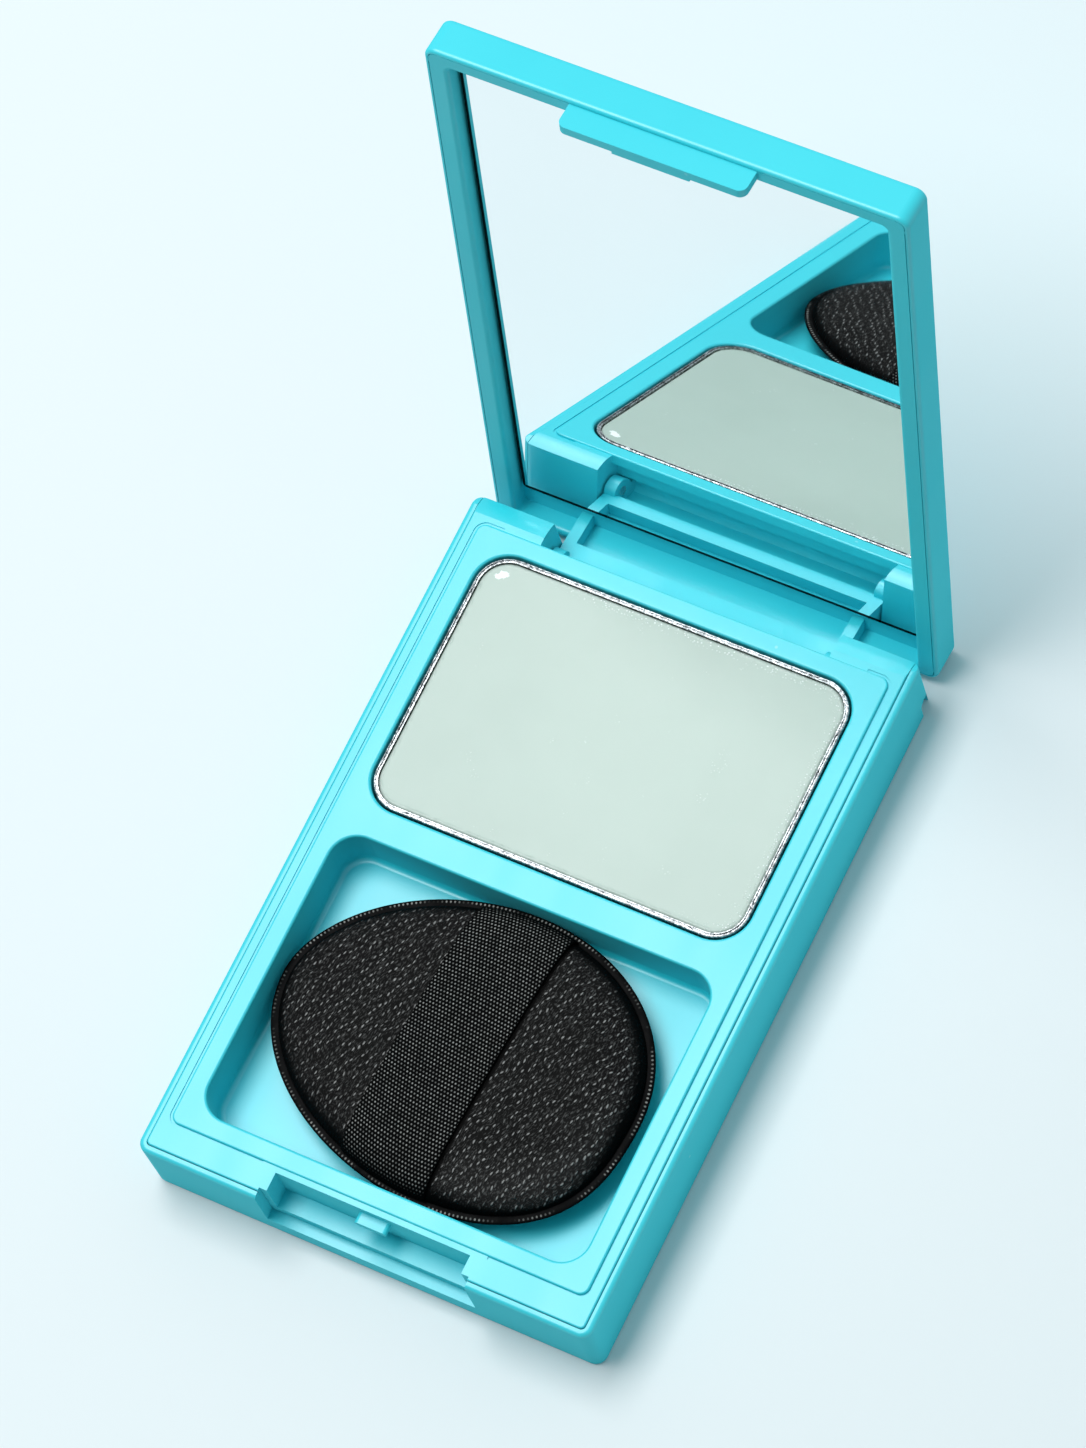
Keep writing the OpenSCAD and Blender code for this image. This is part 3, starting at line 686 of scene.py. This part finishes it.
def puff_rings(shares, heights):
    """Rings of the inner plan, each drawn in to a share of its size and at its own height."""
    rings = drawn_in(shares)
    z = np.broadcast_to(np.asarray(heights).reshape(len(shares), -1), rings.shape[:2])
    return laid(rings[..., 0], rings[..., 1], z)


def share_out(x, y):
    """How far out a place on the plan lies, from 0 at MIDDLE to 1 at the welt."""
    away = np.stack([x, y], -1) - MIDDLE
    angle = np.arctan2(away[..., 1], away[..., 0])
    rim = INNER - MIDDLE
    rim_angle = np.arctan2(rim[:, 1], rim[:, 0])
    order = np.argsort(rim_angle)
    reach = np.interp(angle, rim_angle[order], np.hypot(*rim.T)[order], period=2 * math.pi)
    return np.hypot(away[..., 0], away[..., 1]) / reach


def cover_height(x, y):
    """Height of the puff's cover: (1 - s^5)^0.5 of the crown at a share s of the way out, a
    little lower towards the tip, pressed in under the ribbon and swelling beside it."""
    s = np.clip(share_out(x, y), 0, 1)
    towards_tip = np.clip((x / (PUFF_L / 2) + 1) / 0.8, 0, 1) ** 0.7
    dome = (CROWN - HEADROOM) * (0.80 + 0.20 * towards_tip) * (1 - s ** 5.0) ** 0.5
    beside = (np.abs(x) - RIBBON_W / 2) / (1.2 * MM)
    press = PRESSED / (1 + np.exp(np.clip(2.5 * beside, -30, 30)))
    swell = SWOLLEN * np.exp(-((beside - 1.4) / 1.5) ** 2)
    loose = LOOSE * smooth_noise(x / (9 * MM), y / (9 * MM), 5)
    return SEAM_Z + dome + (swell + loose - press) * (1 - s ** 8)


def make_puff_cover(material):
    """Padded leather cover: rings from the welt to the middle that carry the cover's height,
    closed underneath by a flat face."""
    shares = np.sin(np.linspace(math.pi / 2, 0.02, COVER_RINGS))
    plan = drawn_in(shares)
    heights = cover_height(plan[..., 0], plan[..., 1])
    flat = SEAM_Z - COVER_FLAT
    rings = puff_rings(np.r_[0.5, 0.97, shares],
                       np.vstack([np.full((2, SPOKES), flat), heights]))
    top = float(cover_height(MIDDLE[:1], MIDDLE[1:])[0])
    cover = ring_surface("puff_cover", rings, laid(*MIDDLE, flat), laid(*MIDDLE, top))
    cover.data.materials.append(material)
    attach(cover, "puff")
    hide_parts("puff_top_cover", "puff_foam")


def make_puff_base(material):
    """Flocked underside: rings whose depth below the seam is (1 - s^8)^0.5 of the base's height
    at a share s of the way out, closed above by a flat face."""
    shares = np.sin(np.linspace(0.02, math.pi / 2, BASE_RINGS))
    depths = SEAM_Z - UNDER * (1 - shares ** 8) ** 0.5
    flat = SEAM_Z - BASE_FLAT
    rings = puff_rings(np.r_[shares, 0.97, 0.5], np.r_[depths, flat, flat])
    base = ring_surface("puff_base", rings, laid(*MIDDLE, SEAM_Z - UNDER), laid(*MIDDLE, flat))
    base.data.materials.append(material)
    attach(base, "puff")
    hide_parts("puff_base_cover")


def add_map(obj, name, corners):
    """A UV map from an array faces x corners x 2."""
    layer = obj.data.uv_layers.new(name=name)
    layer.uv.foreach_set("vector", np.asarray(corners, np.float32).ravel())


def unwrapped(lines, count):
    """The numbers of the grid lines at the corners of each face, with count in place of 0 on the
    faces that join the last line to the first."""
    joins = (lines == count - 1).any(1)[:, None]
    return np.where(joins & (lines == 0), count, lines)


def welt_section():
    """The welt's section, a flat lens |x|^2.4 + |z|^2.4 = 1 drawn out to its edges and its
    thickness: how far out of the outline and how far over the seam its points lie."""
    a = np.linspace(0, 2 * math.pi, WELT_SIDES + 1)[:-1]
    x, z = (np.sign(c) * np.abs(c) ** (2 / 2.4) for c in (np.cos(a), np.sin(a)))
    half = (WELT_IN + WELT_LAP + WELT_OUT) / 2
    return WELT_OUT - half + half * x, WELT_HALF_T * z


def make_welt(material):
    """Welded edge: its section carried round the outline. Its map "seam" runs once round the
    outline in U and once round the section in V, both in metres."""
    points, normals = puff_plan(WELT_SPOKES)
    out, up = welt_section()
    xy = points[:, None] + normals[:, None] * out[None, :, None]
    rings = laid(xy[..., 0], xy[..., 1], np.broadcast_to(SEAM_Z + up, xy.shape[:2]))
    faces = grid_faces(WELT_SPOKES, WELT_SIDES, wrap_rows=True, wrap_columns=True)
    welt = mesh_object("puff_welt", rings.reshape(-1, 3), faces)
    step = np.hypot(*(points[1] - points[0]))
    u = unwrapped(faces // WELT_SIDES, WELT_SPOKES) * step
    v = unwrapped(faces % WELT_SIDES, WELT_SIDES) / WELT_SIDES * WELT_ROUND
    add_map(welt, "seam", np.dstack([u, v]))
    welt.data.materials.append(material)
    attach(welt, "puff")
    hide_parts("puff_seam")


def ribbon_reach(x):
    """How far the ribbon runs from the puff's long middle line to the welt, at places across."""
    rim = inner_plan(720)
    side = rim[rim[:, 1] > 0]
    side = side[np.argsort(side[:, 0])]
    return np.interp(x, side[:, 0], side[:, 1])


def make_ribbon(material):
    """Finger ribbon: a grid across the puff, just over the cover and running down to the welt at
    both ends. Its map "cloth" is in metres: U across the ribbon and V along it."""
    x = np.linspace(-RIBBON_W / 2, RIBBON_W / 2, RIBBON_COLUMNS)
    shares = np.sin(np.linspace(-math.pi / 2, math.pi / 2, RIBBON_ROWS))
    gx = np.broadcast_to(x, (RIBBON_ROWS, RIBBON_COLUMNS))
    gy = shares[:, None] * ribbon_reach(x)[None]
    edge = np.abs(gx) / (RIBBON_W / 2)
    z = cover_height(gx, gy) + RIBBON_OVER - RIBBON_CURL * edge ** 6
    z = z + 0.03 * MM * smooth_noise(gx / (14 * MM), gy / (10 * MM), 11)
    points = laid(gx, gy, z)
    faces = grid_faces(RIBBON_ROWS, RIBBON_COLUMNS)
    ribbon = mesh_object("puff_ribbon_strap", points.reshape(-1, 3), faces)
    steps = np.linalg.norm(np.diff(points[:, RIBBON_COLUMNS // 2], axis=0), axis=1)
    run = np.r_[0, np.cumsum(steps)]
    cloth = np.dstack([gx + RIBBON_W / 2, np.broadcast_to(run[:, None], gx.shape)])
    add_map(ribbon, "cloth", cloth.reshape(-1, 2)[faces])
    thick = ribbon.modifiers.new("thickness", "SOLIDIFY")
    thick.thickness = RIBBON_T
    thick.offset = 1.0
    ribbon.data.materials.append(material)
    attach(ribbon, "puff")
    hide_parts("puff_ribbon")


# ---------------------------------------------------------------- build

def finish_nodes(material, *names):
    """Gives CAD pieces their material in place of the one they came with."""
    for name in names:
        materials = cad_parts[name].data.materials
        materials.clear()
        materials.append(material)


finish_nodes(case_plastic(), "base_case", "base_deck", "lid_shell")
finish_nodes(mirror_face(), "mirror_glass")
finish_nodes(dark_backing(), "mirror_backing")
finish_nodes(adhesive_film(), "mirror_adhesive", "pan_adhesive")
finish_nodes(pin_metal(), "hinge_pins")
finish_nodes(pan_metal(), "pan")
finish_nodes(balm_wax(), "balm_fill")
make_puff_cover(pebbled_leather())
make_puff_base(flocked_cloth())
make_welt(welt_leather())
make_ribbon(ribbon_weave())

# ---------------------------------------------------------------- camera, lights, stage

CAMERA_AT = (0.24097, -0.20023, 0.73129)
CAMERA_TURN = (22.928, 9.880, 26.357)
LENS = 165.78
SENSOR = 36.0


def place_camera():
    """The camera, from its place in metres and its turn in degrees about X, Y and Z."""
    data = bpy.data.cameras.new("camera")
    data.sensor_width = SENSOR
    data.lens = LENS
    data.clip_start = 0.01
    data.clip_end = 20
    camera = bpy.data.objects.new("camera", data)
    camera.location = CAMERA_AT
    camera.rotation_euler = Euler([math.radians(a) for a in CAMERA_TURN])
    bpy.context.scene.collection.objects.link(camera)
    bpy.context.scene.camera = camera


def soft_light(name, direction, distance, size, power):
    """A rectangular area lamp that looks at the compact from this way off, with its size in
    metres and its power in watts."""
    data = bpy.data.lights.new(name, "AREA")
    data.shape = "RECTANGLE"
    data.size, data.size_y = size
    data.energy = power
    lamp = bpy.data.objects.new(name, data)
    way = Vector(direction).normalized()
    lamp.location = way * distance
    lamp.rotation_euler = way.to_track_quat("Z", "Y").to_euler()
    bpy.context.scene.collection.objects.link(lamp)


def make_world():
    """Even studio light, with a pale backdrop where the camera or a reflection sees past the
    floor."""
    world = bpy.data.worlds.new("studio")
    bpy.context.scene.world = world
    world.use_nodes = True
    n = Nodes(world.node_tree)
    back = n.tree.nodes["Background"]
    path = n.add("ShaderNodeLightPath").outputs
    seen = n.math("MAXIMUM", path["Is Camera Ray"],
                  n.math("MAXIMUM", path["Is Glossy Ray"], path["Is Transmission Ray"]))
    n.put(back.inputs["Color"], n.blend(seen, (0.66, 0.94, 1.0, 1), (0.86, 0.95, 1.0, 1)))
    way = n.add("ShaderNodeTexCoord").outputs["Generated"]
    rearward = n.ramp(n.vector("DOT_PRODUCT", way, (0.12, 0.86, 0.50)), -0.6, 0.9, 0.05, 0.66)
    n.put(back.inputs["Strength"], n.ramp(seen, 0, 1, rearward, 0.97, smooth=False))


def make_floor():
    """The floor that the compact stands on, out past the camera's view."""
    half = 3.0
    verts = np.array([[-half, -half, 0], [half, -half, 0], [half, half, 0], [-half, half, 0]])
    floor = mesh_object("floor", verts, np.array([[0, 1, 2, 3]]))
    floor.data.materials.append(floor_surface())


place_camera()
soft_light("key", direction=(-0.31, 0.03, 0.95), distance=0.9, size=(0.74, 0.40), power=7.0)
make_world()
make_floor()
bpy.context.scene.view_settings.view_transform = "Standard"
